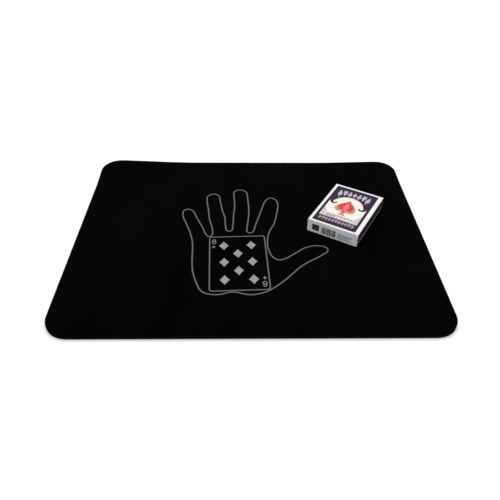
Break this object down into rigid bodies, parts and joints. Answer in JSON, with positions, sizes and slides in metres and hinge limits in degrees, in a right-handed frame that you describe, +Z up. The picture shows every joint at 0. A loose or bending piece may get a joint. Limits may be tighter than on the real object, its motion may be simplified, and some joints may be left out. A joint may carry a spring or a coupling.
{
  "type": "close-up magic mat with boxed playing cards",
  "caption": "Rounded close-up magic mat printed with an open hand and a playing card, with a boxed deck of cards lying on it; the box lid and its tuck tongue open.",
  "frame": {"origin": "under the middle of the mat, on the surface that it lies on", "axes": "+X along the mat's long side, to the right of someone who faces the printed hand the right way up; +Y towards the fingertips; +Z up"},
  "size_m": [0.43, 0.337, 0.023],
  "materials": {
    "mat_cloth": "matte",
    "mat_foam": "matte",
    "mat_backing": "matte",
    "line_print": "satin",
    "pip_print": "satin",
    "index_print": "satin",
    "case_board": "satin",
    "playing_card": "satin"
  },
  "bodies": {
    "mat": {"mat_cloth": "mat_cloth", "mat_foam": "mat_foam", "mat_backing": "mat_backing", "hand_outline_print": "line_print", "card_outline_print": "line_print", "pip_prints": "pip_print", "index_prints": "index_print"},
    "card_case": {"case_sleeve": "case_board", "case_glue_flap": "case_board", "bottom_outer_flap": "case_board", "bottom_inner_flap": "case_board", "dust_flap_left": "case_board", "dust_flap_right": "case_board", "joker_cards": "playing_card", "spade_cards": "playing_card", "diamond_cards": "playing_card", "club_cards": "playing_card", "heart_cards": "playing_card"},
    "lid": {"lid_panel": "case_board"},
    "tongue": {"tuck_tongue": "case_board"}
  },
  "joints": [
    {"name": "case_lift", "type": "slide", "parent": "mat", "child": "card_case", "axis": [0, 0, 1], "range_m": [0, 0.12]},
    {"name": "lid_hinge", "type": "hinge", "parent": "card_case", "child": "lid", "pos_m": [0.14635, 0.06547, 0.023], "axis": [0.859, -0.512, 0], "range_deg": [0, 110]},
    {"name": "tongue_fold", "type": "hinge", "parent": "lid", "child": "tongue", "pos_m": [0.14623, 0.06527, 0.0066], "axis": [0.859, -0.512, 0], "range_deg": [-57.5, 0]}
  ],
  "couplings": [
    {"joint": "tongue_fold", "follows": "lid_hinge", "ratio": -0.52}
  ]
}
